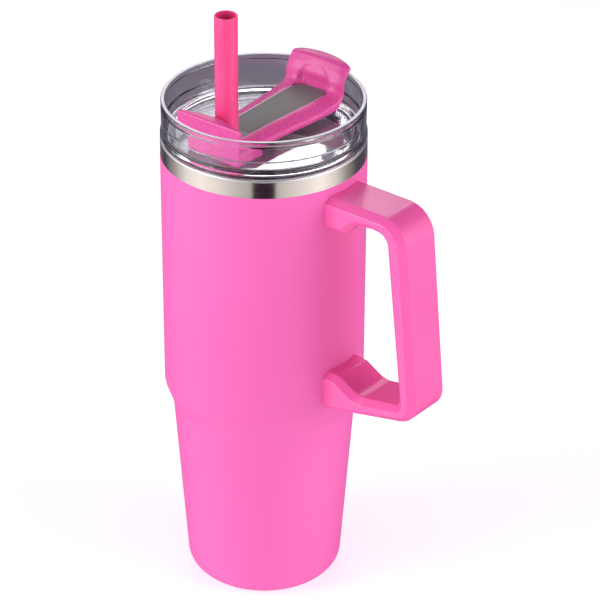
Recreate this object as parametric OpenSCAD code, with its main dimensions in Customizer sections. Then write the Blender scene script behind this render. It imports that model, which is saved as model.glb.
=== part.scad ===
// Insulated tumbler with a loop handle, a clear press-in lid, a flip lever and a straw.
// Millimetres. +Z is up, the base rests on z = 0, the handle points along +X,
// the lever's thumb tab points along +Y and the straw stands on the -Y side.

/* [Body] */
// Height of the steel cup's rim
cup_h = 246.3; // [230:0.1:260]
// Radius of the cup at the lower edge of the bare rim band
rim_r = 50.5; // [48:0.1:53]
// Height of the bare steel band under the rim
band_h = 9.5; // [5:0.1:15]
// Radius just above the shoulder
upper_r = 50.2; // [48:0.1:52]
// Height of the top of the shoulder
shoulder_top = 110.5; // [100:0.5:120]
// Radius just below the shoulder
lower_r = 46.1; // [43:0.1:48]
// Height of the bottom of the shoulder
shoulder_low = 99.4; // [90:0.1:99.5]
// Radius at the top of the rounded base corner
base_r = 39.5; // [37:0.1:41]
// Radius of the rounded base corner
corner_r = 9.1; // [6:0.1:11]
// Thickness of the sprayed colour coat
coat_t = 0.4; // [0.2:0.05:0.6]
// Thickness of both steel walls
steel_t = 0.6; // [0.5:0.05:1]

/* [Liner] */
// Vacuum gap between the walls below the mouth, measured from the outer surface
gap = 4.7; // [4:0.1:6]
// Inner radius of the mouth, where the lid's plug sits
mouth_r = 47; // [46.5:0.1:47.2]
// Depth of the mouth below the rim
mouth_d = 16; // [14:0.5:20]
// Height of the drinking space's floor
liner_floor = 9; // [7:0.5:12]

/* [Handle] */
// Width of the handle
handle_w = 27.5; // [22:0.5:30]
// Chamfer along the handle's outer edges
handle_c = 3.3; // [2:0.1:4]
// Height of the handle's top face
handle_top = 232.5; // [225:0.5:234]
// Reach of the handle's outer face at its upper corner
reach_top = 95; // [90:0.5:98]
// Reach of the handle's outer face at its lower corner
reach_low = 104.6; // [98:0.5:108]
// Thickness of the grip
grip_t = 9.2; // [8:0.1:11]

/* [Lid] */
// Height of the lid's top rim
lid_top = 266; // [262:0.5:268]
// Radius of the lid's top rim
lid_r = 49.8; // [49:0.1:50]
// Thickness of the lid's wall
lid_t = 2.1; // [1.8:0.1:2.4]
// Height of the top of the lid's floor
floor_z = 248; // [247.5:0.1:248.5]
// Height of the straw housing's end wall
endwall_top = 268.8; // [266:0.1:270]

/* [Lever] */
// Height of the lever's flat top
lever_z = 256.5; // [256:0.1:257]
// Half-width of the lever at its hinge end
lever_w0 = 15.6; // [14:0.1:16]
// Half-width of the lever at its tab end
lever_w1 = 18.2; // [16.5:0.1:18.5]
// Half-width of the grey inlay at its hinge end
inlay_w0 = 8.2; // [7:0.1:9]
// Half-width of the grey inlay at its tab end
inlay_w1 = 10.2; // [8:0.1:11]
// Y position of the hinge pin
pin_y = -15.8; // [-16:0.1:-15.4]
// Radius of the hinge pin
pin_r = 1; // [0.8:0.1:1.1]
// Height of the underside of the end wall's wing
wing_low = 262; // [261:0.5:264]

/* [Straw] */
// Outer radius of the straw
straw_r = 5.6; // [4.5:0.1:5.8]
// Wall thickness of the straw
straw_t = 0.9; // [0.7:0.1:1.2]
// Height of the straw's top end
straw_top = 318.6; // [290:0.5:340]
// Height of the straw's bottom end
straw_low = 14; // [12:0.5:30]
// Distance of the straw from the cup's axis
straw_y = 27.7; // [26.5:0.1:28]

/* [Hidden] */
$fn = 96;

band_z = cup_h - band_h;
foot_r = base_r - corner_r;
pin_z = lever_z - 4.4;         // centre of the hinge pin
heel = 2.77;                   // how far the lever's top reaches behind the pin
heel_r = norm([heel, 4.4]);    // radius that the lever's top rear corner sweeps
post_x = 9;                    // inner faces of the two posts that hold the pin
post_t = 2;                    // their thickness
pin_half = 13;                 // half of the pin's length
lever_low = 250.3;             // underside of the lever
spout_y = 31;                  // centre of the drinking opening
vent_y = 8;                    // centre of the vent hole
flange_z = cup_h + 0.2;        // underside of the lid's flange, just clear of the rim
tab_y = 38;                    // foot of the thumb tab's front face
mount_x = 60;                  // outer end of the handle's welded blocks
mount_zs = [219.5, 121.8];     // lower faces of the two welded blocks
mount_h = 7.6;
screw_x = 55.5;
screw_zs = [215, 117.1];       // lower ends of the plugs in the two screw wells, less 0.2
pink = [1, 0.45, 0.75];
steel = [0.8, 0.79, 0.77];
grey = [0.45, 0.43, 0.45];

// Points of the arc that rounds the corner b of the path a-b-c with radius r
function unit(v) = v / norm(v);
function fillet(a, b, c, r, n = 6) =
    let (u = unit(a - b), v = unit(c - b), h = acos(u * v) / 2, m = b + unit(u + v) * r / sin(h),
         p = b + u * r / tan(h) - m, q = b + v * r / tan(h) - m,
         s = atan2(p.y, p.x), e = atan2(q.y, q.x), d = (e - s + 540) % 360 - 180)
    [for (i = [0:n]) m + r * [cos(s + d * i / n), sin(s + d * i / n)]];

// Cup's outside line from the foot up to height top, moved inwards by d
function cup_line(d, top, fr = corner_r) =
    let (b = [base_r - d, corner_r], k = [lower_r - d, shoulder_low], j = [upper_r - d, shoulder_top],
         e = [rim_r - d, band_z])
    concat([for (i = [0:10]) [foot_r + (fr - d) * cos(270 + 9 * i), corner_r + (fr - d) * sin(270 + 9 * i)]],
           fillet(b, k, j, 6), fillet(k, j, e, 8), [[rim_r - d, top]]);

// Drinking space's line from the axis up to the mouth, moved outwards by d
function liner_line(d) =
    let (fr = 9, b = [base_r - gap, liner_floor + fr], k = [lower_r - gap, shoulder_low],
         j = [upper_r - gap - 1, shoulder_top], e = [rim_r - gap - 1, cup_h - mouth_d - 8],
         m = [mouth_r, cup_h - mouth_d])
    concat([[0, liner_floor - d]],
           [for (i = [0:8]) b - [fr, 0] + (fr + d) * [cos(270 + 11.25 * i), sin(270 + 11.25 * i)]],
           fillet(b + [d, 0], k + [d, 0], j + [d, 0], 6), fillet(k + [d, 0], j + [d, 0], e + [d, 0], 8),
           [e + [d, 0], m + [d, 0]]);

function reversed(l) = [for (i = [len(l) - 1:-1:0]) l[i]];

module outer_shell() {
    under = cup_line(coat_t, band_z);
    inner = cup_line(coat_t + steel_t, cup_h - 1.2);
    color(steel) rotate_extrude() polygon(concat(
        under, [[rim_r - 0.1, band_z], [rim_r - 0.1, cup_h - 1.2]], reversed(inner)));
}

module powder_coat() {
    color(pink) difference() {
        rotate_extrude() intersection() {
            polygon(concat(cup_line(0, band_z), reversed(cup_line(coat_t, band_z))));
            translate([20, 1]) square([60, band_z]);
        }
        for (z = mount_zs) translate([40, -6.1, z - 0.1]) cube([20, 12.2, mount_h + 0.2]);
    }
}

module inner_liner() {
    color(steel) rotate_extrude() polygon(concat(
        liner_line(0), [[mouth_r, cup_h], [rim_r - 0.1, cup_h], [rim_r - 0.1, cup_h - 1.2],
                        [mouth_r + steel_t, cup_h - 1.2]], reversed(liner_line(steel_t))));
}

module base_plate() {
    edge = foot_r;
    color(steel) rotate_extrude() polygon([[5, 1.8], [edge - 7, 1.8], [edge - 4, 0], [edge, 0],
        [edge, coat_t + 1], [edge - 3, 1.6], [edge - 6, 3], [5, 3]]);
}

// Bead that closes the evacuation port in the middle of the base
module vacuum_seal() {
    color("dimgray") rotate_extrude() polygon([[0, 1.2], [4, 1.2], [5, 1.8], [5, 3], [0, 3]]);
}

// Gas-absorbing pellet under the liner's floor
module getter() {
    color("silver") translate([0, 14, liner_floor - steel_t - 2.4]) cylinder(r = 6, h = 2.4);
}

// Convex outline of the handle seen from the side, moved inwards by d
module handle_outline(d) {
    a = [44, handle_top - d]; b = [reach_top + 2 - d, handle_top - d];
    c = [reach_low - d, 126.5 + d]; e = [44, 114.2 + d];
    polygon(concat([a], fillet(a, b, c, 15 - d, 10), fillet(b, c, e, 11 - d, 8), [e]));
}

module handle() {
    hole_top = 223.4;
    color(pink) difference() {
        hull() {
            rotate([90, 0, 0]) linear_extrude(handle_w - 2 * handle_c, center = true) handle_outline(0);
            rotate([90, 0, 0]) linear_extrude(handle_w, center = true) handle_outline(handle_c);
        }
        // finger gap, with its stepped root pads
        rotate([90, 0, 0]) linear_extrude(handle_w + 2, center = true) {
            a = [40, 215]; b = [59, 215]; c = [66, 222.2]; d = [75, hole_top]; e = [reach_top - grip_t, 218];
            f = [reach_low - grip_t - 1.1, 132.8]; g = [68.6, 128.2]; h = [57, 135]; i = [40, 135.4];
            polygon(concat([a], fillet(a, b, c, 4, 4), fillet(b, c, d, 6, 4),
                fillet(d, [reach_top - grip_t - 0.6, 222.4], f, 6, 6), fillet(e, f, g, 3, 4),
                fillet(f, g, h, 8, 4), fillet(g, h, i, 5, 4), [i]));
        }
        // the cup's own outside
        rotate_extrude() polygon(concat([[0, 0]], cup_line(-0.05, cup_h), [[0, cup_h]]));
        for (k = [0, 1]) {
            translate([40, -6.3, mount_zs[k] - 0.2]) cube([mount_x - 39.6, 12.6, mount_h + 0.4]);
            translate([screw_x, 0, screw_zs[k] - 6]) cylinder(r = 1.7, h = 14);
            translate([screw_x, 0, screw_zs[k] - 6]) cylinder(r = 3.2, h = 8.8);
        }
    }
}

// Two blocks welded to the outer shell, one inside each root of the handle
module handle_mounts() {
    color(steel) difference() {
        for (z = mount_zs) translate([45, -6, z]) cube([mount_x - 45, 12, mount_h]);
        rotate_extrude() polygon(concat([[0, 0]], cup_line(coat_t, cup_h), [[0, cup_h]]));
        for (k = [0, 1]) translate([screw_x, 0, mount_zs[k] - 1]) cylinder(r = 1.5, h = 7);
    }
}

module handle_screws() {
    color("gray") for (k = [0, 1]) translate([screw_x, 0, screw_zs[k]]) {
        translate([0, 0, 1.3]) cylinder(r = 2.9, h = 1.5);
        translate([0, 0, 2.8]) cylinder(r = 1.5, h = mount_zs[k] - screw_zs[k] + 3);
    }
}

module screw_plugs() {
    color(pink) for (z = screw_zs) translate([screw_x, 0, z + 0.2]) cylinder(r = 3.2, h = 1);
}

// Straight slot with round ends, its length along X
module stadium(r, half, h) {
    for (x = [-half, half]) translate([x, 0, 0]) cylinder(r = r, h = h);
    translate([-half, -r, 0]) cube([2 * half, 2 * r, h]);
}

module lid_body() {
    ri = lid_r - lid_t;
    plug_r = mouth_r - 1.4;
    color([0.85, 0.85, 0.9, 0.45]) difference() {
        union() {
            rotate_extrude() polygon([
                // plug, with the gasket's groove
                [0, floor_z - 1.8], [plug_r - 2, floor_z - 1.8], [plug_r - 2, cup_h - 10.5],
                [plug_r - 0.4, cup_h - 10.5], [plug_r, cup_h - 10], [plug_r, cup_h - 8.6],
                [plug_r - 1, cup_h - 8.6], [plug_r - 1, cup_h - 1.6], [plug_r, cup_h - 1.6],
                // flange and outer wall with its two grooves
                [plug_r, flange_z], [lid_r + 0.5, flange_z], [lid_r + 0.5, 248.6], [lid_r, 249.2],
                [lid_r - 0.4, 250.2], [lid_r, 251.2], [lid_r, 263], [lid_r - 0.5, 263.6],
                [lid_r - 0.5, 264.2], [lid_r, 264.6], [lid_r, lid_top - 0.6], [lid_r - 0.6, lid_top],
                // inner wall, ledge and floor
                [ri + 0.4, lid_top], [ri, lid_top - 0.4], [ri, 255], [ri - 0.8, 254.4], [ri - 0.8, 251],
                [ri - 1.6, 250], [plug_r - 2, 250], [plug_r - 2.8, floor_z], [0, floor_z]]);
            // raised lip of the drinking opening
            translate([0, spout_y, floor_z - 1]) stadium(6, 5, 2.3);
        }
        translate([0, spout_y, floor_z - 4]) stadium(4.6, 5, 8);
        translate([0, -straw_y, floor_z - 4]) cylinder(r = 7.7, h = 8);
        translate([0, vent_y, floor_z - 4]) cylinder(r = 1, h = 8);
    }
}

// Ribbed silicone ring in the plug's groove
module lid_gasket() {
    plug_r = mouth_r - 1.4;
    lip = mouth_r - 0.3;
    color([0.3, 0.3, 0.33]) rotate_extrude() polygon([[plug_r - 1, cup_h - 8.6], [plug_r - 0.2, cup_h - 8.6],
        [lip - 0.3, cup_h - 7.6], [lip, cup_h - 7.1], [lip - 0.3, cup_h - 6.6], [plug_r - 0.2, cup_h - 5.6],
        [plug_r - 0.2, cup_h - 4.6], [lip - 0.3, cup_h - 3.6], [lip, cup_h - 3.1], [lip - 0.3, cup_h - 2.6],
        [plug_r - 0.2, cup_h - 1.6], [plug_r - 1, cup_h - 1.6]]);
}

// Lever's cross-section: a flat middle with the sides sloping down by drop, half-width w
module crown(w, flat, low, drop = 3.1) {
    side = lever_z - drop;
    polygon([[-w, low], [w, low], [w, side], [flat, lever_z], [-flat, lever_z], [-w, side]]);
}

// Fixed block between the end wall and the hinge, which the straw passes through
module straw_housing() {
    wing_y = 41.5; bow = 47; wall_y = 37.5; pocket_y = 35.9; post_r = 1.9;
    color(pink) difference() {
        union() {
            // crescent wing: flat outside, bowed inside
            intersection() {
                translate([-19.5, -wing_y, wing_low]) cube([39, 12, endwall_top - wing_low]);
                translate([0, -wing_y - bow + 5.5, wing_low]) cylinder(r = bow, h = endwall_top - wing_low);
                translate([0, 0, wing_low]) cylinder(r = lid_r - lid_t - 1.2, h = endwall_top - wing_low);
            }
            // wall under the wing, and the block that carries on the lever's section
            translate([-lever_w0, -wall_y, floor_z])
                cube([2 * lever_w0, wall_y - pocket_y, wing_low + 0.5 - floor_z]);
            difference() {
                translate([0, pin_y - heel, 0]) rotate([90, 0, 0])
                    linear_extrude(wall_y + pin_y - heel) crown(lever_w0, inlay_w0 + 0.1, floor_z);
                // room for the lever's rear end as it turns
                translate([-30, pin_y, pin_z]) rotate([0, 90, 0]) cylinder(r = heel_r + 0.3, h = 60);
                translate([-30, pin_y, floor_z - 1]) cube([60, 40, 20]);
                // straw passage and the seal's seat
                translate([0, -straw_y, floor_z - 1]) cylinder(r = 7.7, h = 2.6);
                translate([0, -straw_y, floor_z - 1]) cylinder(r = 6.35, h = 20);
                translate([-inlay_w0 - 0.1, -pocket_y, lever_z - 1.4]) cube([2 * inlay_w0 + 0.2, 18, 5]);
            }
            // two posts that hold the hinge pin, inside slots of the lever
            for (x = [-post_x - post_t, post_x]) translate([x, 0, 0]) rotate([90, 0, 90])
                linear_extrude(post_t) {
                    translate([pin_y, pin_z]) circle(r = post_r);
                    translate([pin_y - post_r, floor_z]) square([2 * post_r, pin_z - floor_z]);
                    translate([-24, floor_z]) square([24 + pin_y, 1.4]);
                }
        }
        translate([-30, pin_y, pin_z]) rotate([0, 90, 0]) cylinder(r = pin_r, h = 60);
    }
}

// Silicone grommet around the straw, with a flat grey top plate whose front edge
// is undercut for the lever's rear end
module straw_seal() {
    top = lever_z - 0.1; under = lever_z - 1.4; clear_r = heel_r + 0.35;
    front_top = pin_y - sqrt(clear_r ^ 2 - (top - pin_z) ^ 2);
    front_under = pin_y - sqrt(clear_r ^ 2 - (under - pin_z) ^ 2);
    color(grey) difference() {
        union() {
            translate([-inlay_w0, 0, 0]) rotate([90, 0, 90]) linear_extrude(2 * inlay_w0)
                polygon([[-35.6, under], [front_under, under], [front_top, top], [-35.6, top]]);
            translate([0, -straw_y, floor_z - 3.4]) cylinder(r = 7.65, h = 4.9);
            translate([0, -straw_y, floor_z]) cylinder(r = 6.3, h = under - floor_z);
            translate([0, -straw_y, floor_z - 3.4]) cylinder(r = 9.2, h = 1.5);
        }
        translate([0, -straw_y, floor_z - 5]) cylinder(r = straw_r + 0.05, h = 20);
    }
}

module hinge_pin() {
    color("silver") translate([-pin_half, pin_y, pin_z]) rotate([0, 90, 0])
        cylinder(r = pin_r, h = 2 * pin_half);
}

// Outline of the lever's arm from above, from its heel to the tab
module arm_plan(w0, w1, y0, y1) {
    polygon([[-w0, y0], [w0, y0], [w0, -10], [w1, 26], [w1, y1], [-w1, y1], [-w1, 26], [-w0, -10]]);
}

module flip_lever() {
    back = pin_y - heel;
    tilt = atan2(inlay_w1 - inlay_w0, 26 - back);
    color(pink) difference() {
        union() {
            // arm, its rear end shaped to turn above the lid's floor
            intersection() {
                translate([0, 0, lever_low]) linear_extrude(lever_z - lever_low)
                    arm_plan(lever_w0, lever_w1, pin_y - 6, tab_y + 3);
                rotate([90, 0, 90]) linear_extrude(60, center = true)
                    polygon([[back, lever_z], [pin_y - 4.2, pin_z + 0.8], [pin_y - 4.1, pin_z - 0.3],
                             [pin_y - 3.35, lever_low], [60, lever_low], [60, lever_z]]);
            }
            // thumb tab: a leaning plate whose lip curves over the lid's rim
            intersection() {
                rotate([90, 0, 90]) linear_extrude(60, center = true) {
                    p = [[tab_y - 6, lever_z - 4], [tab_y - 0.5, lever_z + 0.5], [tab_y + 0.6, 263],
                         [tab_y + 2.4, 267], [tab_y + 5, 269.9],
                         [tab_y + 8, 271.8], [52, 271.8], [52, 268.2], [tab_y + 6.4, 267.8],
                         [tab_y + 3.6, 264], [tab_y + 2.6, 258], [tab_y + 1, 254], [tab_y - 3, lever_low]];
                    polygon(concat([p[0]], fillet(p[0], p[1], p[2], 2.5, 4), [p[2], p[3], p[4]],
                        fillet(p[4], p[5], p[6], 2, 4), [p[6], p[7]], fillet(p[7], p[8], p[9], 2, 4),
                        [p[10], p[11], p[12]]));
                }
                translate([0, 0, 240]) cylinder(r = 49.3, h = 40);
                translate([-lever_w1 + 0.4, 20, 240]) cube([2 * lever_w1 - 0.8, 40, 40]);
            }
        }
        // sides that slope down from the flat middle
        for (s = [-1, 1]) {
            translate([s * inlay_w0, back, lever_z]) rotate([0, 0, -s * tilt]) rotate([0, s * 22.5, 0])
                translate([s > 0 ? 0.4 : -30.4, -20, 0]) cube([30, 52 - back, 12]);
        }
        // seat of the grey inlay
        translate([0, 0, lever_z - 1.4]) linear_extrude(5)
            arm_plan(inlay_w0 + 0.1, inlay_w1 + 0.1, back - 3, tab_y - 1.6);
        // pin hole, slots around the posts, and the seats of the two seals
        translate([-pin_half - 0.2, pin_y, pin_z]) rotate([0, 90, 0])
            cylinder(r = pin_r + 0.06, h = 2 * pin_half + 0.4);
        for (x = [-post_x - post_t - 0.3, post_x - 0.3])
            translate([x, pin_y - 8, lever_low - 1]) cube([post_t + 0.6, 10.6, 255.2 - lever_low]);
        translate([0, spout_y, lever_low - 1]) stadium(2.5, 4, 3.6);
        translate([0, vent_y, lever_low - 1]) cylinder(r = 1.6, h = 3.6);
    }
}

module lever_inlay() {
    color(grey) translate([0, 0, lever_z - 1.4]) linear_extrude(1.25)
        arm_plan(inlay_w0, inlay_w1, pin_y - heel + 0.05, tab_y - 1.7);
}

// Silicone stopper that closes the drinking opening, held in the lever's underside
module spout_seal() {
    color([0.9, 0.9, 0.92]) translate([0, spout_y, 0]) {
        translate([0, 0, 249.5]) stadium(5.8, 5, lever_low - 249.5);
        translate([0, 0, 247.4]) stadium(3.8, 5, 2.4);
        translate([0, 0, lever_low]) stadium(2.5, 4, 2.4);
    }
}

module vent_seal() {
    color([0.9, 0.9, 0.92]) translate([0, vent_y, 0]) {
        translate([0, 0, floor_z + 0.2]) cylinder(r = 2.6, h = lever_low - floor_z - 0.2);
        translate([0, 0, lever_low]) cylinder(r = 1.6, h = 2.4);
    }
}

module straw() {
    color([1, 0.25, 0.55]) translate([0, -straw_y, straw_low]) difference() {
        cylinder(r = straw_r, h = straw_top - straw_low);
        translate([0, 0, -1]) cylinder(r = straw_r - straw_t, h = straw_top - straw_low + 2);
    }
}

outer_shell();
powder_coat();
inner_liner();
base_plate();
vacuum_seal();
getter();
handle();
handle_mounts();
handle_screws();
screw_plugs();
lid_body();
lid_gasket();
straw_housing();
straw_seal();
hinge_pin();
flip_lever();
lever_inlay();
spout_seal();
vent_seal();
straw();
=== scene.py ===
"""Looks of an insulated tumbler with a loop handle, a clear lid, a flip lever and a straw.

Lengths are in millimetres until solid() turns them into metres. +Z is up the cup's axis,
+X points to the handle, +Y to the lever's thumb tab, and the straw stands on the -Y side.
"""
import math

import bmesh
import bpy
from mathutils import Matrix, Vector


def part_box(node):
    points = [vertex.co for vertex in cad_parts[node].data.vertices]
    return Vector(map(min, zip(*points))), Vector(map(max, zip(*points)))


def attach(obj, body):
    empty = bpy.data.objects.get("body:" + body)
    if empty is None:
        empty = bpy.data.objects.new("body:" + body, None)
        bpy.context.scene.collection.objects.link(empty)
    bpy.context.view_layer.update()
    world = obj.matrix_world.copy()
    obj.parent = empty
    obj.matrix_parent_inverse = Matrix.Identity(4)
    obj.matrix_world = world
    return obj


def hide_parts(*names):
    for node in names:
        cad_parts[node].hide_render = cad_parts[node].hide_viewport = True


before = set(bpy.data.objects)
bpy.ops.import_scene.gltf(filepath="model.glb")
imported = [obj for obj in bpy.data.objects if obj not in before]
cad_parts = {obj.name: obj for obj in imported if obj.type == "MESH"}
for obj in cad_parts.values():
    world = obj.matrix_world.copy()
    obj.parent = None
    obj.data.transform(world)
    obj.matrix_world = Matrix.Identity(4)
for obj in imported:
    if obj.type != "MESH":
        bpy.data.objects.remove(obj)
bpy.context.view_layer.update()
scene = bpy.context.scene
MM = 0.001


def low(node):
    """Lowest corner of a CAD node's box, in millimetres."""
    return [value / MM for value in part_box(node)[0]]


def high(node):
    """Highest corner of a CAD node's box, in millimetres."""
    return [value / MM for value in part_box(node)[1]]


# ---------------------------------------------------------------- driving sizes
# Cup: the heights and radii of its steps, and the thickness of its layers.
CUP_TOP = high("inner_liner")[2]
BAND_LOW = high("powder_coat")[2]
COAT_LOW = low("powder_coat")[2]
RIM_R = high("powder_coat")[1]
FOOT_R = high("base_plate")[1]
CORNER_R = 9.1
UPPER_R, SHOULDER_TOP = 50.2, 110.5
LOWER_R, SHOULDER_LOW = 46.1, 99.4
COAT, STEEL, GAP = 0.4, 0.6, 4.7
BAND_R, LIP_LOW = RIM_R - 0.1, CUP_TOP - 1.2
MOUTH_R, MOUTH_DEEP = 47.0, 16.0
LINER_FLOOR, LINER_CORNER = 9.0, 9

# Handle: its width, its top, its chamfer, and where its outlines run into the cup.
HANDLE_W = high("handle")[1] - low("handle")[1]
HANDLE_TOP = high("handle")[2]
CHAMFER = 3.3
ROOT_X = 44

# Lid: a plug in the mouth, a flange on the rim and a wall above it; the spout and the vent.
LID_TOP = high("lid_body")[2]
LID_R, LID_T = 49.8, 2.1
WALL_R = LID_R - LID_T
FLOOR_Z, FLOOR_T = 248.0, 1.8
PLUG_R, PLUG_LOW = MOUTH_R - 1.4, low("lid_body")[2]
GROOVE_LOW, GROOVE_TOP = CUP_TOP - 8.6, CUP_TOP - 1.6
FLANGE_Z = CUP_TOP + 0.2
SPOUT_Y, SPOUT_HALF, VENT_Y = 31, 5, 8

# Straw and its grommet: the tube, the collar and neck under the plate, and the plate's straight end.
STRAW_R, STRAW_T = high("straw")[0], 0.9
STRAW_Y = low("straw")[1] + STRAW_R
STRAW_TOP, STRAW_LOW = high("straw")[2], low("straw")[2]
COLLAR_R, NECK_R, PLATE_Y = 7.65, 6.3, -35.6

# Lever: heights, hinge pin, round heel, half-widths at the hinge and tab ends, and the tab.
LEVER_Z, LEVER_LOW = 256.5, 250.3
PIN_R, PIN_HALF = 1.0, 13.0
PIN_Y = high("hinge_pin")[1] - PIN_R
PIN_Z = high("hinge_pin")[2] - PIN_R
HEEL = 2.77
HEEL_R = math.hypot(HEEL, LEVER_Z - PIN_Z)
LEVER_W0, LEVER_W1 = 15.6, 18.2
CROWN, CROWN_POWER, EDGE_R = 3.1, 1.6, 0.9
TAB_Y, TAB_R = 38.0, 49.3
TAB_TOP = high("flip_lever")[2]
TAB_BOW_Y = 43

# Inlay: half-widths at its two ends, its far end, its rounded corners and its height.
INLAY_W0, INLAY_W1 = 8.2, 9.5
INLAY_END, INLAY_CORNER = 39.3, 5.5
INLAY_TOP, INLAY_LOW = LEVER_Z - 0.4, LEVER_Z - 1.4

# Block behind the straw, the wing on it, and the hinge's two posts.
WALL_Y, POCKET_Y = 37.5, 35.9
WING_LOW, WING_TOP = 262.0, high("straw_housing")[2]
WING_HALF, WING_Y, WING_BOW, WING_T = 19.4, -41.5, 47.0, 5.5
POST_X, POST_T, POST_R, POST_FOOT_Y = 9.0, 2.0, 1.9, -24

# Camera, found from the photograph's ellipses: millimetres, degrees, and the lens in millimetres.
CAMERA_AZIMUTH = -50.5
CAMERA_AT = (860.6, -1044.0, 927.0)
CAMERA_HEADING, CAMERA_TILT = 39.29, 29.77
SENSOR, LENS, SHIFT_X = 36, 187.4, 0.0433

# World: (azimuth from the camera, colour or grey) stops of the light tent, level with the cup and below.
DIM = (0.22, 0.19, 0.27, 1)
DARK = (0.04, 0.032, 0.038, 1)
SIDES = ((-180, DIM), (-131, DIM), (-114, 1.5), (-60, 1.85), (-14, 1.45), (-11.5, DARK), (11.5, DARK),
         (14, 1.4), (60, 1.75), (92, 1.5), (120, DIM), (180, DIM))
LOW_DIM = (0.08, 0.072, 0.095, 1)
LOW_DARK = (0.036, 0.018, 0.033, 1)
LOW_BACK = (0.19, 0.17, 0.205, 1)
LOW_SIDES = ((-180, LOW_BACK), (-165, LOW_BACK), (-148, LOW_DIM), (-140, LOW_DIM), (-117, 0.38),
             (-95, 0.95), (-75, 1.14), (-50, 0.9), (-31, 0.64), (-14, 0.5), (-11.5, LOW_DARK),
             (11.5, LOW_DARK), (14, 0.58), (30, 0.76), (50, 1.0), (67, 1.16), (85, 0.85), (106, 0.31),
             (125, LOW_DIM), (148, LOW_DIM), (165, LOW_BACK), (180, LOW_BACK))
TOP_LIGHT = (0.16, 0.155, 0.17)
WORLD_STRENGTH = 1.0


# ---------------------------------------------------------------- outlines
def rounded(path, steps=6):
    """Points of a path of (x, y) or (x, y, radius) corners, each radius turned into an arc."""
    out = []
    for i, corner in enumerate(path):
        radius = corner[2] if len(corner) > 2 else 0
        if not radius:
            out.append(Vector(corner[:2]))
            continue
        b = Vector(corner[:2])
        u = (Vector(path[i - 1][:2]) - b).normalized()
        v = (Vector(path[(i + 1) % len(path)][:2]) - b).normalized()
        half = u.angle(v) / 2
        centre = b + (u + v).normalized() * radius / math.sin(half)
        start = b + u * radius / math.tan(half) - centre
        sweep = (b + v * radius / math.tan(half) - centre).angle_signed(start)
        for k in range(steps + 1):
            a = sweep * k / steps
            turned = Vector((start.x * math.cos(a) - start.y * math.sin(a),
                             start.x * math.sin(a) + start.y * math.cos(a)))
            out.append(centre + turned)
    return out


def moved(path, d):
    """An open path of (x, y, radius) corners, moved to its left by d, its radii following."""
    def side(a, b):
        t = (Vector(b[:2]) - Vector(a[:2])).normalized()
        return t, Vector((-t.y, t.x))

    out = []
    for i, corner in enumerate(path):
        p = Vector(corner[:2])
        before = side(path[i - 1], corner) if i else None
        after = side(corner, path[i + 1]) if i + 1 < len(path) else None
        if before is None or after is None:
            out.append((*(p + (before or after)[1] * d), 0))
            continue
        (t0, n0), (t1, n1) = before, after
        turn = t0.x * t1.y - t0.y * t1.x
        q = p + (n0 + n1) * d / (1 + n0.dot(n1))
        radius = corner[2] - d if turn > 0 else corner[2] + d
        out.append((*q, max(radius, 0.3) if corner[2] else 0))
    return out


def circle_arc(cx, cy, r, start, end, steps):
    """Points along an arc between two angles in degrees."""
    return [Vector((cx + r * math.cos(math.radians(start + (end - start) * k / steps)),
                    cy + r * math.sin(math.radians(start + (end - start) * k / steps))))
            for k in range(steps + 1)]


def smooth(t):
    """Eased step from 0 to 1."""
    t = min(max(t, 0), 1)
    return t * t * (3 - 2 * t)


def along(path, count):
    """Evenly spaced points along an open line, with its left-hand normals."""
    lengths = [(b - a).length for a, b in zip(path, path[1:])]
    total, out = sum(lengths), []
    for k in range(count):
        left, i = total * k / (count - 1), 0
        while i < len(lengths) - 1 and left > lengths[i]:
            left -= lengths[i]
            i += 1
        t = (path[i + 1] - path[i]).normalized()
        out.append(path[i] + t * min(left, lengths[i]))
    normals = []
    for k in range(count):
        t = (out[min(k + 1, count - 1)] - out[max(k - 1, 0)]).normalized()
        normals.append(Vector((-t.y, t.x)))
    return out, normals


# ---------------------------------------------------------------- meshes
PIECES = []


def solid(name, verts, faces):
    """A new mesh from points in millimetres, its double points merged and its faces turned outwards."""
    mesh = bpy.data.meshes.new(name)
    mesh.from_pydata([Vector(v) * MM for v in verts], [], faces)
    bm = bmesh.new()
    bm.from_mesh(mesh)
    bmesh.ops.remove_doubles(bm, verts=bm.verts, dist=1e-7)
    bmesh.ops.recalc_face_normals(bm, faces=bm.faces)
    bm.to_mesh(mesh)
    bm.free()
    obj = bpy.data.objects.new(name, mesh)
    scene.collection.objects.link(obj)
    return obj


def mesh_piece(name, verts, faces, body, slot, material, replaces=(), sharp=35):
    """A smooth-shaded piece that rides on a CAD body and may replace CAD nodes."""
    obj = solid(name, verts, faces)
    shade(obj, sharp)
    obj.data.materials.append(material)
    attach(obj, body)
    if replaces:
        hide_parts(*replaces)
    PIECES.append(obj)
    return obj


def shade(obj, sharp=35):
    """Smooth shading, with edges above this angle in degrees kept sharp."""
    obj.data.polygons.foreach_set("use_smooth", [True] * len(obj.data.polygons))
    obj.data.set_sharp_from_angle(angle=math.radians(sharp))


def flatten_normals():
    """Weights the pieces' normals by face area, so that broad faces stay flat beside their fillets."""
    for obj in PIECES:
        obj.modifiers.new("weigh", "WEIGHTED_NORMAL").keep_sharp = True
    bpy.context.view_layer.update()
    graph = bpy.context.evaluated_depsgraph_get()
    for obj in PIECES:
        made = bpy.data.meshes.new_from_object(obj.evaluated_get(graph), preserve_all_data_layers=True,
                                               depsgraph=graph)
        obj.modifiers.clear()
        obj.data = made


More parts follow.
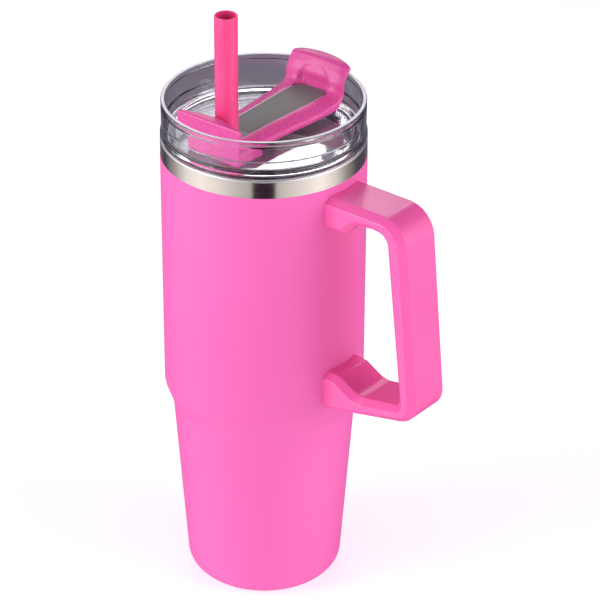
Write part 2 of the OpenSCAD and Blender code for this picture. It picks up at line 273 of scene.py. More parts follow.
def lathe_mesh(profile, turns=160, closed=True):
    """Points and faces of a profile of (radius, z) points turned about the cup's axis."""
    verts, faces, rings = [], [], []
    for r, z in profile:
        if r < 1e-6:
            rings.append([len(verts)] * turns)
            verts.append((0, 0, z))
            continue
        rings.append(list(range(len(verts), len(verts) + turns)))
        verts += [(r * math.cos(2 * math.pi * k / turns), r * math.sin(2 * math.pi * k / turns), z)
                  for k in range(turns)]
    pairs = list(zip(rings, rings[1:] + rings[:1]))
    for a, b in pairs if closed else pairs[:-1]:
        for k in range(turns):
            quad = [a[k], a[(k + 1) % turns], b[(k + 1) % turns], b[k]]
            face = list(dict.fromkeys(quad))
            if len(face) > 2:
                faces.append(face)
    return verts, faces


def rail_mesh(rings):
    """Points and faces of a closed solid through equal rings of (x, y, z) points."""
    count = len(rings[0])
    verts = [p for ring in rings for p in ring]
    faces = [[k * count + i, k * count + (i + 1) % count, (k + 1) * count + (i + 1) % count,
              (k + 1) * count + i] for k in range(len(rings) - 1) for i in range(count)]
    faces.append(list(range(count))[::-1])
    faces.append([(len(rings) - 1) * count + i for i in range(count)])
    return verts, faces


def prism_mesh(layers):
    """Points and faces of a closed solid through equal outlines, given as (points, z) layers."""
    return rail_mesh([[(x, y, z) for x, y in points] for points, z in layers])


def bar(points, half, middle=0.0):
    """A solid with an outline of (y, z) points, running along X."""
    return rail_mesh([[(x, p[0], p[1]) for p in points] for x in (middle - half, middle + half)])


def joined(*parts):
    """Several (points, faces) meshes as one."""
    verts, faces = [], []
    for v, f in parts:
        faces += [[i + len(verts) for i in face] for face in f]
        verts += v
    return verts, faces


def carve(obj, *cutters, mode="DIFFERENCE"):
    """Cuts closed (points, faces) solids out of a piece, or joins them to it, for good."""
    for verts, faces in cutters:
        tool = solid("cutter", verts, faces)
        cut = obj.modifiers.new("cut", "BOOLEAN")
        cut.operation, cut.solver, cut.object = mode, "EXACT", tool
        bpy.context.view_layer.update()
        made = bpy.data.meshes.new_from_object(obj.evaluated_get(bpy.context.evaluated_depsgraph_get()))
        obj.modifiers.clear()
        obj.data = made
        bpy.data.objects.remove(tool)
    shade(obj)


def stadium(cx, cy, half, r, steps=12):
    """Slot outline with round ends, its length along X."""
    return circle_arc(cx + half, cy, r, -90, 90, steps) + circle_arc(cx - half, cy, r, 90, 270, steps)


def disc(cx, cy, r, steps=48):
    """Points of a full circle."""
    return circle_arc(cx, cy, r, 0, 360, steps)[:-1]


# ---------------------------------------------------------------- materials
def material(name, **sockets):
    """A node material with these values on the shader's own sockets."""
    made = bpy.data.materials.new(name)
    made.use_nodes = True
    shader = made.node_tree.nodes["Principled BSDF"]
    for key, value in sockets.items():
        socket = shader.inputs[key.replace("_", " ")]
        socket.default_value = (*value, 1) if socket.type == "RGBA" else value
    return made


def node(made, kind, **values):
    """A new shader node, its inputs or settings given by name."""
    new = made.node_tree.nodes.new(kind)
    for key, value in values.items():
        if key in new.inputs:
            new.inputs[key].default_value = value
        else:
            setattr(new, key, value)
    return new


def link(made, a, b):
    made.node_tree.links.new(a, b)


def noise(made, scale, detail=3.0, stretch=(1, 1, 1)):
    """A noise pattern in the object's own space; scale is in cycles per metre."""
    place = node(made, "ShaderNodeTexCoord")
    sized = node(made, "ShaderNodeMapping")
    sized.inputs["Scale"].default_value = [scale * s for s in stretch]
    pattern = node(made, "ShaderNodeTexNoise", Scale=1.0, Detail=detail)
    link(made, place.outputs["Object"], sized.inputs["Vector"])
    link(made, sized.outputs["Vector"], pattern.inputs["Vector"])
    return pattern.outputs["Fac"]


def vary(made, socket, source, lo, hi, at=(0.3, 0.7)):
    """Feeds a shader socket from a pattern, between two values or two colours."""
    shader = made.node_tree.nodes["Principled BSDF"]
    if isinstance(lo, tuple):
        ramp = node(made, "ShaderNodeValToRGB")
        for stop, place, colour in zip(ramp.color_ramp.elements, at, (lo, hi)):
            stop.position, stop.color = place, (*colour, 1)
        link(made, source, ramp.inputs["Fac"])
        link(made, ramp.outputs["Color"], shader.inputs[socket])
        return
    spread = node(made, "ShaderNodeMapRange")
    for key, value in zip(("From Min", "From Max", "To Min", "To Max"), (*at, lo, hi)):
        spread.inputs[key].default_value = value
    link(made, source, spread.inputs["Value"])
    link(made, spread.outputs["Result"], shader.inputs[socket])


def relief(made, source, height_mm, strength=1.0):
    """Surface relief of a pattern, its height in millimetres."""
    shader = made.node_tree.nodes["Principled BSDF"]
    bump = node(made, "ShaderNodeBump", Strength=strength, Distance=height_mm * MM)
    link(made, source, bump.inputs["Height"])
    link(made, bump.outputs["Normal"], shader.inputs["Normal"])


def powder_paint():
    """Pink powder coat with a fine grain."""
    made = material("powder_paint", Roughness=0.5, Coat_Weight=0.1, Coat_Roughness=0.4)
    vary(made, "Base Color", noise(made, 9, 2), (0.82, 0.112, 0.42), (0.84, 0.122, 0.44))
    grain = noise(made, 1400, 2)
    vary(made, "Roughness", grain, 0.44, 0.56)
    relief(made, grain, 0.02, 0.5)
    return made


def turned_steel():
    """Bright steel with fine lines round the cup."""
    made = material("turned_steel", Metallic=1.0, Roughness=0.12)
    lines = noise(made, 60, 4, (1, 1, 60))
    vary(made, "Base Color", lines, (0.79, 0.705, 0.65), (0.88, 0.79, 0.73))
    vary(made, "Roughness", lines, 0.08, 0.17)
    relief(made, lines, 0.002, 0.3)
    return made


def satin_steel():
    """Duller steel of the liner."""
    made = material("satin_steel", Metallic=1.0, Roughness=0.3)
    lines = noise(made, 60, 4, (1, 1, 40))
    vary(made, "Base Color", lines, (0.60, 0.57, 0.59), (0.68, 0.65, 0.67))
    vary(made, "Roughness", lines, 0.34, 0.46)
    return made


def moulded(name, dark, light, rough, grain=900, height=0.006, **extra):
    """Injection-moulded plastic or silicone with a slight spark-eroded grain."""
    made = material(name, Roughness=rough, **extra)
    vary(made, "Base Color", noise(made, 25, 3), dark, light)
    texture = noise(made, grain, 2)
    vary(made, "Roughness", texture, rough * 0.88, min(1, rough * 1.12))
    relief(made, texture, height, 0.3)
    return made


def clear_plastic():
    """Clear lid plastic with a faint violet tint."""
    made = material("clear_plastic", Transmission_Weight=1.0, IOR=1.5, Base_Color=(0.94, 0.925, 0.985))
    vary(made, "Roughness", noise(made, 120, 3), 0.0, 0.03)
    return made


COAT_PAINT = powder_paint()
BARE_STEEL = turned_steel()
LINER_STEEL = satin_steel()
HANDLE_PINK = moulded("handle_plastic", (0.89, 0.105, 0.385), (0.91, 0.115, 0.405), 0.22, 900, 0.001)
LID_PINK = moulded("pink_plastic", (0.76, 0.078, 0.33), (0.78, 0.086, 0.345), 0.28, 900, 0.0008,
                    Specular_IOR_Level=0.32)
INLAY_GREY = moulded("grey_plastic", (0.19, 0.18, 0.182), (0.205, 0.193, 0.196), 0.5, 900, 0.004,
                     Specular_IOR_Level=0.3)
# Painted highlight: pale pink-grey plastic for thin strips along the inlay's sides, standing in for the
# light lines on the seat's edges.
SEAT_HIGHLIGHT_PAINT = moulded("painted_seat_highlight", (0.66, 0.52, 0.58), (0.72, 0.58, 0.64), 0.3)
SEAL_GREY = moulded("grey_silicone", (0.205, 0.195, 0.195), (0.225, 0.212, 0.213), 0.45)
GASKET = moulded("dark_silicone", (0.035, 0.035, 0.04), (0.045, 0.045, 0.05), 0.5)
CLEAR = clear_plastic()
# Painted highlight: near-white, mostly opaque plastic for the top of the lid's rim, standing in for the
# bright line of light along it.
RIM_HIGHLIGHT_PAINT = moulded("rim_painted_highlight", (0.95, 0.95, 0.98), (0.97, 0.97, 1.0), 0.25, 900, 0.001,
                     Transmission_Weight=0.1, IOR=1.5)
STRAW_PINK = moulded("straw_plastic", (0.88, 0.055, 0.24), (0.90, 0.065, 0.26), 0.25, 900, 0.002,
                     Subsurface_Weight=0.3, Subsurface_Radius=(0.004, 0.001, 0.002))
PLAIN_STEEL = moulded("fastener_steel", (0.50, 0.50, 0.50), (0.6, 0.6, 0.6), 0.35, 300, 0.003, Metallic=1.0)
SOLDER = moulded("solder_bead", (0.09, 0.09, 0.095), (0.14, 0.14, 0.145), 0.55, 500, 0.02, Metallic=0.8)
PELLET = moulded("sintered_pellet", (0.3, 0.3, 0.3), (0.38, 0.38, 0.38), 0.8, 1200, 0.03, Metallic=0.6)


# ---------------------------------------------------------------- cup
def cup_path(d, top):
    """Outside line of the cup from the foot corner up, moved inwards by d."""
    corner = circle_arc(FOOT_R, CORNER_R, CORNER_R - d, -90, 0, 12)
    return corner + rounded([
        (FOOT_R + CORNER_R - d, CORNER_R), (LOWER_R - d, SHOULDER_LOW, 6),
        (UPPER_R - d, SHOULDER_TOP, 8), (RIM_R - d, BAND_LOW)], 8)[1:] + (
        [Vector((RIM_R - d, top))] if top > BAND_LOW else [])


def cup_radius(z):
    """Outer radius of the cup on its upper part at height z."""
    return UPPER_R + (RIM_R - UPPER_R) * (z - SHOULDER_TOP) / (BAND_LOW - SHOULDER_TOP)


def liner_path(d):
    """Inside line of the liner from the middle of its floor up, moved outwards by d."""
    r = FOOT_R + CORNER_R - GAP
    turn = LINER_FLOOR + LINER_CORNER
    floor = circle_arc(r - LINER_CORNER, turn, LINER_CORNER + d, -90, 0, 10)
    return [Vector((0, LINER_FLOOR - d))] + floor + rounded([
        (r + d, turn), (LOWER_R - GAP + d, SHOULDER_LOW, 6),
        (UPPER_R - GAP - 1 + d, SHOULDER_TOP, 8), (RIM_R - GAP - 1 + d, CUP_TOP - MOUTH_DEEP - 8, 6),
        (MOUTH_R + d, CUP_TOP - MOUTH_DEEP, 4)], 6)[1:]


def build_cup():
    """Colour coat, outer shell with the bare band, and liner with the rolled rim."""
    outside = [p for p in cup_path(0, BAND_LOW) if p.y > COAT_LOW - 0.01]
    inside = [p for p in cup_path(COAT, BAND_LOW) if p.y > COAT_LOW - 0.01]
    edge = rounded([tuple(outside[-2]), (RIM_R, BAND_LOW, 0.25), (RIM_R - COAT, BAND_LOW)], 4)[1:]
    mesh_piece("coat_skin", *lathe_mesh(outside[:-1] + edge + inside[::-1][1:]), "cup", "coat",
               COAT_PAINT, ["powder_coat"])

    band = [Vector((BAND_R, BAND_LOW)), Vector((BAND_R, LIP_LOW))]
    shell = cup_path(COAT, BAND_LOW) + band + cup_path(COAT + STEEL, LIP_LOW)[::-1]
    mesh_piece("shell_skin", *lathe_mesh(shell), "cup", "steel", BARE_STEEL, ["outer_shell"])

    lip = rounded([(MOUTH_R, CUP_TOP - MOUTH_DEEP + 1), (MOUTH_R, CUP_TOP, 0.8), (BAND_R, CUP_TOP, 1.0),
                   (BAND_R, LIP_LOW)], 6)
    liner = liner_path(0) + lip + [Vector((MOUTH_R + STEEL, LIP_LOW))] + liner_path(STEEL)[::-1]
    mesh_piece("liner_skin", *lathe_mesh(liner), "cup", "steel", LINER_STEEL, ["inner_liner"])


def build_handle():
    """Loop with chamfered edges: a band of outlines across its width, closed by flat sides."""
    half = HANDLE_W / 2
    outer = [(ROOT_X, HANDLE_TOP, 0), (94.8, HANDLE_TOP, 15), (104.7, 126, 12.5), (ROOT_X, 113.9, 0)]
    inner = [(ROOT_X, 135.4, 0), (57, 135, 5), (68.6, 128.2, 13), (93.9, 132.8, 3.5), (83.8, 222.4, 6.5),
             (75, 223.4, 1), (66, 222.2, 6), (59, 215, 4), (ROOT_X, 215, 0)]
    soft = 0.9
    across = rounded([(-half, CHAMFER + 2.5), (-half, CHAMFER, soft),
                      (-half + CHAMFER, 0, soft), (0, 0)], 4)[1:]
    level = half - CHAMFER - 1.2
    flat = [level * (k / 5 - 1) for k in range(5)]
    across = [tuple(p) for p in across[:-1]] + [(y, 0) for y in flat] + [(0, 0)]
    across += [(-y, d) for y, d in across[-2::-1]]

    verts, faces = [], []

    def strip(path):
        """One line of points per station across the width; returns their first indices and length."""
        starts = []
        for y, d in across:
            points = rounded(moved(path, -d), 8)
            starts.append(len(verts))
            for i, p in enumerate(points):
                x = p.x
                if i in (0, len(points) - 1):
                    x = math.sqrt((cup_radius(p.y) + 0.05) ** 2 - y * y)
                verts.append((x, y, p.y))
            count = len(points)
        for a, b in zip(starts, starts[1:]):
            faces.extend([a + i, a + i + 1, b + i + 1, b + i] for i in range(count - 1))
        return starts, count

    out_starts, out_count = strip(outer)
    in_starts, in_count = strip(inner)
    for k, (a, b) in enumerate(zip(out_starts, in_starts)):
        loop = [a + i for i in range(out_count)] + [b + i for i in range(in_count)]
        if k in (0, len(across) - 1):
            faces.append(loop)
        if k + 1 < len(across):
            c, d = out_starts[k + 1], in_starts[k + 1]
            faces.append([a, c, d + in_count - 1, b + in_count - 1])
            faces.append([a + out_count - 1, b, d, c + out_count - 1])
    loop = mesh_piece("handle_loop", verts, faces, "cup", "handle", HANDLE_PINK, ["handle"], 40)
    loop.visible_glossy = False


# ---------------------------------------------------------------- lid
def build_lid():
    """Clear moulding with its plug, flange, stepped wall, drinking spout, vent and straw hole, the top of
    its rim painted near-white as a highlight.
    """
    profile = rounded([
        (0, FLOOR_Z - FLOOR_T), (PLUG_R - 2, FLOOR_Z - FLOOR_T, 0.5), (PLUG_R - 2, PLUG_LOW, 0.4),
        (PLUG_R, PLUG_LOW, 0.6), (PLUG_R, GROOVE_LOW, 0.2), (PLUG_R - 1, GROOVE_LOW, 0.2),
        (PLUG_R - 1, GROOVE_TOP, 0.2), (PLUG_R, GROOVE_TOP, 0.2), (PLUG_R, FLANGE_Z, 0.2),
        (LID_R + 0.5, FLANGE_Z, 0.7), (LID_R + 0.5, 248.8, 0.8), (LID_R - 0.4, 249.6, 0.6),
        (LID_R - 0.1, 251.6, 1.2), (LID_R, 262.6, 0.8), (LID_R - 0.5, 263.5, 0.5), (LID_R, 264.5, 0.6),
        (LID_R, LID_TOP, 0.7), (WALL_R, LID_TOP, 0.6), (WALL_R, 255.2, 0.5), (WALL_R - 0.8, 254.4, 0.4),
        (WALL_R - 0.8, 250.9, 0.8), (WALL_R - 1.6, 250, 0.4), (PLUG_R - 2, 250, 0.5),
        (PLUG_R - 2.8, FLOOR_Z, 0.6), (0, FLOOR_Z)], 5)
    lid = mesh_piece("clear_lid", *lathe_mesh(profile, 192, closed=False), "lid", "clear_lid", CLEAR,
                     ["lid_body"], 30)
    spout = stadium(0, SPOUT_Y, SPOUT_HALF, 6)
    ridge = prism_mesh([(spout, FLOOR_Z - 1), (spout, FLOOR_Z + 0.9),
                        (stadium(0, SPOUT_Y, SPOUT_HALF, 5.7), FLOOR_Z + 1.3)])
    carve(lid, ridge, mode="UNION")
    holes = (stadium(0, SPOUT_Y, SPOUT_HALF, 4.6), disc(0, STRAW_Y, COLLAR_R + 0.05),
             disc(0, VENT_Y, 1.0, 16))
    carve(lid, *[prism_mesh([(hole, FLOOR_Z - 4), (hole, FLOOR_Z + 4)]) for hole in holes])
    lid.visible_shadow = False
    # Painted highlight: the faces on the rim's top take the near-white material, which stands in for the
    # rim's bright line of light.
    lid.data.materials.append(RIM_HIGHLIGHT_PAINT)
    for face in lid.data.polygons:
        if face.center.z > (LID_TOP - 0.1) * MM:
            face.material_index = 1


def build_gasket():
    """Ring with two ribs in the plug's groove."""
    lip = MOUTH_R - 0.3
    ribs = []
    for z in (CUP_TOP - 7.1, CUP_TOP - 3.1):
        ribs += [(PLUG_R - 0.2, z - 1.5, 0.3), (lip, z, 0.4), (PLUG_R - 0.2, z + 1.5, 0.3)]
    profile = rounded([(PLUG_R - 1, GROOVE_LOW)] + ribs + [(PLUG_R - 1, GROOVE_TOP)], 4)
    mesh_piece("gasket_ring", *lathe_mesh(profile), "lid", "gasket", GASKET, ["lid_gasket"])


def plain_nodes():
    """Hidden and small parts that keep their CAD shape."""
    for name, made in (("base_plate", BARE_STEEL), ("vacuum_seal", SOLDER), ("getter", PELLET),
                       ("handle_mounts", PLAIN_STEEL), ("handle_screws", PLAIN_STEEL),
                       ("screw_plugs", HANDLE_PINK), ("hinge_pin", PLAIN_STEEL),
                       ("spout_seal", SEAL_GREY), ("vent_seal", SEAL_GREY)):
        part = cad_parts[name]
        part.data.materials.clear()
        part.data.materials.append(made)
        shade(part, 30)


# ---------------------------------------------------------------- lever
def behind_pin(z, r):
    """Y of the circle of radius r about the hinge pin, on its straw side, at height z."""
    return PIN_Y - math.sqrt(r ** 2 - (z - PIN_Z) ** 2)


def inlay_half(y):
    """Half-width of the inlay along the lever."""
    return INLAY_W0 + (INLAY_W1 - INLAY_W0) * smooth((y + 12) / 42)


def inlay_plan(grow, back, front):
    """Outline of the inlay from above, grown by a margin, with rounded far corners."""
    turn = front - INLAY_CORNER
    right = [Vector((inlay_half(y) + grow, y)) for y in (back + (turn - back) * k / 24 for k in range(25))]
    right += circle_arc(right[-1].x - INLAY_CORNER, turn, INLAY_CORNER, 0, 90, 8)[1:]
    return right + [Vector((-p.x, p.y)) for p in right[::-1]]


def lever_half(y):
    """Half-width of the lever."""
    return LEVER_W0 + (LEVER_W1 - LEVER_W0) * smooth((y + 14) / 44)


def crown(x, half, flat, drop, edge):
    """Depth below the top line at x: flat in the middle, sloping to the sides, round at the edge."""
    slope = drop * (max(abs(x) - flat, 0) / max(half - flat, 1)) ** CROWN_POWER
    over = max(abs(x) - (half - edge), 0)
    return slope + edge - math.sqrt(max(edge * edge - over * over, 0))


def lever_lines():
    """Top line, underside and top normals of the lever, along the arm and up the tab."""
    bend = TAB_Y - 6
    top_bend = rounded([(bend, LEVER_Z), (TAB_Y - 0.6, LEVER_Z, 4.5), (TAB_Y + 0.5, 263, 10),
                        (TAB_Y + 2.2, 267.5, 6), (TAB_Y + 4.8, 271.3, 2.2), (TAB_Y + 8, TAB_TOP, 5),
                        (TAB_R, TAB_TOP, 1.9), (TAB_R, 269.2)], 6)
    low_bend = rounded([(bend, LEVER_LOW), (TAB_Y - 2.6, LEVER_LOW, 1), (TAB_Y + 1.2, 254, 4),
                        (TAB_Y + 2.6, 258, 6), (TAB_Y + 3.8, 264, 3.5), (TAB_Y + 6.4, 267.8, 2.5),
                        (TAB_R, 268, 0.4), (TAB_R, 268.6)], 6)
    tops, normals = along(top_bend, 70)
    lows = along(low_bend, 70)[0]
    tail = PIN_Y - HEEL_R - 0.2
    arm = [tail + (bend - tail) * k / 40 for k in range(40)]
    return ([Vector((y, LEVER_Z)) for y in arm] + tops, [Vector((y, LEVER_LOW)) for y in arm] + lows,
            [Vector((0, 1))] * len(arm) + normals)


def bowed(x, y, z):
    """A point of the tab, its corners lowered and its far side bent round the lid's rim."""
    z -= 1.4 * (x / LEVER_W1) ** 2 * smooth((z - 262) / 9)
    if y > TAB_BOW_Y:
        depth = math.sqrt(TAB_R ** 2 - x * x) - TAB_BOW_Y
        y = TAB_BOW_Y + (y - TAB_BOW_Y) * depth / (TAB_R - TAB_BOW_Y)
    return x, y, z


def lever_ring(top, under, normal, wide, climb):
    """Ring across the lever; climb goes from 0 on the arm to 1 on the tab, which has the thumb's scoop."""
    across = [-1 + 2 * k / 72 for k in range(73)]
    flat = inlay_half(top.x) + 0.5 + 3.5 * climb
    drop = CROWN * (1 - climb) + 0.3 * climb
    scoop = 0.5 + 2.0 * smooth((265 - top.y) / 8)
    ring = []
    for t in across:
        x = t * wide
        arch = 1 - (x / 10.2) ** 2 - (max(top.y - 259, 0) / 10.8) ** 2
        d = crown(x, wide, flat, drop, EDGE_R - 0.3 * climb)
        d += scoop * smooth(arch / 0.4) * smooth((top.x - TAB_Y + 4) / 3)
        ring.append((x, *(top - normal * d)))
    for t in across[::-1]:
        lift = 0.5 * smooth((abs(t) - 0.9) / 0.1)
        ring.append((t * (wide - 0.5), *(under + normal * lift)))
    return [bowed(*point) for point in ring]


def lever_cutters(back):
    """The inlay's seat, the round heel, the pin's bore, the posts' slots and the stoppers' seats."""
    seat = [(INLAY_LOW, 0.12), (LEVER_Z - 1.0, 0.44), (LEVER_Z - 0.1, 0.44), (LEVER_Z + 0.1, 0.55),
            (LEVER_Z + 3, 0.8)]
    cutters = [prism_mesh([(inlay_plan(grow, back - 4, INLAY_END + 0.1 + grow), z) for z, grow in seat])]
    heel = circle_arc(PIN_Y, PIN_Z, HEEL_R - 0.02, 90, 169, 48)
    behind = [(PIN_Y - 1.0, PIN_Z - 6), (PIN_Y - 1.0, PIN_Z - 12), (PIN_Y - 12, PIN_Z - 12),
              (PIN_Y - 12, PIN_Z + 12), (PIN_Y, PIN_Z + 12)]
    cutters.append(bar(heel + behind, 30))
    cutters.append(bar(disc(PIN_Y, PIN_Z, PIN_R + 0.06, 24), PIN_HALF + 0.2))
    slot = [(PIN_Y - 8, LEVER_LOW - 1), (PIN_Y + 2.6, LEVER_LOW - 1), (PIN_Y + 2.6, 255.1),
            (PIN_Y - 8, 255.1)]
    cutters += [bar(slot, POST_T / 2 + 0.3, side * (POST_X + POST_T / 2)) for side in (-1, 1)]
    for hole in (stadium(0, SPOUT_Y, SPOUT_HALF / 2, 4), disc(0, VENT_Y, 1.6, 24)):
        cutters.append(prism_mesh([(hole, LEVER_LOW - 1), (hole, LEVER_LOW + 2.6)]))
    return cutters


def build_lever():
    """Arm and tab as one loft, cut for the inlay, the hinge and the stoppers."""
    tops, lows, normals = lever_lines()
    last = len(tops) - 1
    reach = (tops[last] - tops[last - 1]).length
    climb, rings = 0.0, []
    for i, (top, under, normal) in enumerate(zip(tops, lows, normals)):
        climb = max(climb, 0.45 * smooth((top.x - 18) / 20), 1 - max(normal.y, 0))
        wide = lever_half(top.x) - 0.4 * smooth((top.y - LEVER_Z) / 12)
        left = 4 - min((last - i) * reach, 4)
        wide -= 0.9 * (4 - math.sqrt(16 - left * left))
        rings.append(lever_ring(top, under, normal, wide, climb))
    lever = mesh_piece("lever_arm", *rail_mesh(rings), "lever", "pink_plastic", LID_PINK, ["flip_lever"])
    back = behind_pin(INLAY_TOP, HEEL_R)
    carve(lever, *lever_cutters(back))
    build_inlay(back)


def build_inlay(back):
    """Grey strip in the lever's seat, and pale strips along its two sides, painted highlights on the seat's
    edges.
    """
    rim = [(LEVER_Z - 0.9, 0.05), (LEVER_Z - 0.12, 0.05), (LEVER_Z - 0.02, 0.14), (LEVER_Z - 0.02, 0.32),
           (LEVER_Z - 0.2, 0.42), (LEVER_Z - 0.9, 0.42)]
    stations = [back + 0.1 + (INLAY_END - 6 - back) * k / 40 for k in range(41)]
    sides = [rail_mesh([[(flip * (inlay_half(y) + grow), y, z) for z, grow in rim] for y in stations])
             for flip in (-1, 1)]
    # Painted highlight: these pale strips stand in for the light lines along the seat's edges.
    mesh_piece("inlay_highlight_strips", *joined(*sides), "lever", "grey_plastic", SEAT_HIGHLIGHT_PAINT)
    layers = [(INLAY_LOW, 0), (INLAY_TOP - 0.3, 0), (INLAY_TOP - 0.08, -0.08), (INLAY_TOP, -0.3)]
    plan = [(inlay_plan(grow, back + 0.04, INLAY_END + grow), z) for z, grow in layers]
    mesh_piece("inlay_strip", *prism_mesh(plan), "lever", "grey_plastic", INLAY_GREY, ["lever_inlay"], 40)


# ---------------------------------------------------------------- block, grommet and straw
def crown_ring(y, inset=0.0):
    """Cross-section of the fixed block, crowned as the lever is."""
    half = LEVER_W0 - inset
    line = [(x, y, LEVER_Z - inset - crown(x, half, INLAY_W0 + 0.5, CROWN, EDGE_R))
            for x in (half * (-1 + k / 36) for k in range(73))]
    return [(-half, y, FLOOR_Z)] + line + [(half, y, FLOOR_Z)]


def crescent(inset):
    """Outline of the wing: flat on the outside, bowed on the inside, with rounded ends."""
    half, r = WING_HALF - inset, WING_BOW - inset
    arc = [Vector((x, WING_Y + WING_T - WING_BOW + math.sqrt(r * r - x * x)))
           for x in (half * (1 - k / 20) for k in range(41))]
    front = WING_Y + inset
    arc[0].y = max(arc[0].y, front + 0.3)
    arc[-1].y = arc[0].y
    ends = [Vector((-half + 0.25, front + 0.05)), Vector((-half + 0.7, front)),
            Vector((half - 0.7, front)), Vector((half - 0.25, front + 0.05))]
    return arc + ends


def block_body():
    """Points and faces of the crowned block, cut for the lever's heel, the grommet and the straw."""
    body = rail_mesh([crown_ring(PIN_Y - HEEL), crown_ring(-WALL_Y + 0.5), crown_ring(-WALL_Y + 0.15, 0.15),
                      crown_ring(-WALL_Y, 0.5)])
    made = solid("block_body", *body)
    front = [(PIN_Y + y, FLOOR_Z + z) for y, z in ((0, -1), (40, -1), (40, 20), (0, 20))]
    half = INLAY_W0 + 0.1
    pocket = [(-half, -POCKET_Y), (half, -POCKET_Y), (half, PIN_Y), (-half, PIN_Y)]
    collar, neck = disc(0, STRAW_Y, COLLAR_R + 0.1), disc(0, STRAW_Y, NECK_R + 0.1)
    carve(made, bar(disc(PIN_Y, PIN_Z, HEEL_R + 0.1, 96), 30), bar(front, 30),
          prism_mesh([(collar, FLOOR_Z - 1), (collar, FLOOR_Z + 1.6)]),
          prism_mesh([(neck, FLOOR_Z - 1), (neck, FLOOR_Z + 20)]),
          prism_mesh([(pocket, INLAY_LOW), (pocket, LEVER_Z + 4)]))
    verts = [tuple(v.co / MM) for v in made.data.vertices]
    faces = [tuple(f.vertices) for f in made.data.polygons]
    bpy.data.objects.remove(made)
    return verts, faces


def build_housing():
    """Wing, end wall, block and the two posts under the lever, joined in one piece."""
    layers = ((WING_LOW, 0.5), (WING_LOW + 0.15, 0.15), (WING_LOW + 0.5, 0), (WING_TOP - 1.2, 0),
              (WING_TOP - 0.6, 0.15), (WING_TOP - 0.2, 0.45), (WING_TOP, 0.95))
    wing = prism_mesh([(crescent(inset), z) for z, inset in layers])
    block = mesh_piece("lid_block", *wing, "lid", "pink_plastic", LID_PINK, ["straw_housing"])
    body = block_body()
    wide = LEVER_W0
    wall = rounded([(-wide, -WALL_Y, 0.6), (wide, -WALL_Y, 0.6), (wide, -POCKET_Y, 0.3),
                    (-wide, -POCKET_Y, 0.3)], 4)
    foot = [(PIN_Y - POST_R, FLOOR_Z + 1.4), (POST_FOOT_Y, FLOOR_Z + 1.4), (POST_FOOT_Y, FLOOR_Z)]
    post = [(PIN_Y + POST_R, FLOOR_Z)] + disc(PIN_Y, PIN_Z, POST_R, 32)[:17] + foot
    posts = [bar(post, POST_T / 2, side * (POST_X + POST_T / 2)) for side in (-1, 1)]
    carve(block, prism_mesh([(wall, FLOOR_Z), (wall, WING_LOW + 0.3)]), *posts, body, mode="UNION")
    carve(block, bar(disc(PIN_Y, PIN_Z, PIN_R, 24), 30))


def build_seal():
    """Grommet: a collar and neck round the straw under the flat grey plate."""
    rings = []
    for z, inset in ((INLAY_LOW, 0), (INLAY_TOP - 0.1, 0), (INLAY_TOP, 0.08)):
        w, y = INLAY_W0 - inset, behind_pin(z, HEEL_R + 0.06) - inset
        rings.append([(-w, PLATE_Y, z), (w, PLATE_Y, z), (w, y, z), (-w, y, z)])
    seal = mesh_piece("straw_grommet", *rail_mesh(rings), "lid", "grey_rubber", SEAL_GREY, ["straw_seal"])
    verts, faces = lathe_mesh(rounded([
        (0, FLOOR_Z - 3.4), (9.2, FLOOR_Z - 3.4, 0.3), (9.2, FLOOR_Z - 1.9, 0.5),
        (COLLAR_R, FLOOR_Z - 1.9), (COLLAR_R, FLOOR_Z + 1.5, 0.4), (NECK_R, FLOOR_Z + 1.5),
        (NECK_R, INLAY_LOW + 0.3), (0, INLAY_LOW + 0.3)], 4), 64, closed=False)
    carve(seal, ([(x, y + STRAW_Y, z) for x, y, z in verts], faces), mode="UNION")
    bore = disc(0, STRAW_Y, STRAW_R + 0.05, 64)
    carve(seal, prism_mesh([(bore, FLOOR_Z - 6), (bore, FLOOR_Z + 12)]),
          bar(disc(PIN_Y, PIN_Z, HEEL_R + 0.05, 96), 12))


def build_straw():
    """Plain tube with soft ends."""
    inner = STRAW_R - STRAW_T
    profile = rounded([(inner, STRAW_LOW, 0.35), (inner, STRAW_TOP, 0.35), (STRAW_R, STRAW_TOP, 0.4),
                       (STRAW_R, STRAW_LOW, 0.4)], 4)
    verts, faces = lathe_mesh(profile, 64)
    mesh_piece("straw_tube", [(x, y + STRAW_Y, z) for x, y, z in verts], faces, "straw", "straw",
               STRAW_PINK, ["straw"])


# ---------------------------------------------------------------- studio
def ramp(made, source, stops, lo, hi):
    """A grey or a colour read off (place, value) stops, the source running from lo to hi."""
    spread = node(made, "ShaderNodeMapRange")
    spread.inputs["From Min"].default_value = lo
    spread.inputs["From Max"].default_value = hi
    link(made, source, spread.inputs["Value"])
    table = node(made, "ShaderNodeValToRGB")
    points = table.color_ramp.elements
    while len(points) < len(stops):
        points.new(0.5)
    for point, (place, value) in zip(points, stops):
        point.position = (place - lo) / (hi - lo)
        point.color = value if isinstance(value, tuple) else (value, value, value, 1)
    link(made, spread.outputs["Result"], table.inputs["Fac"])
    return table.outputs["Color"]


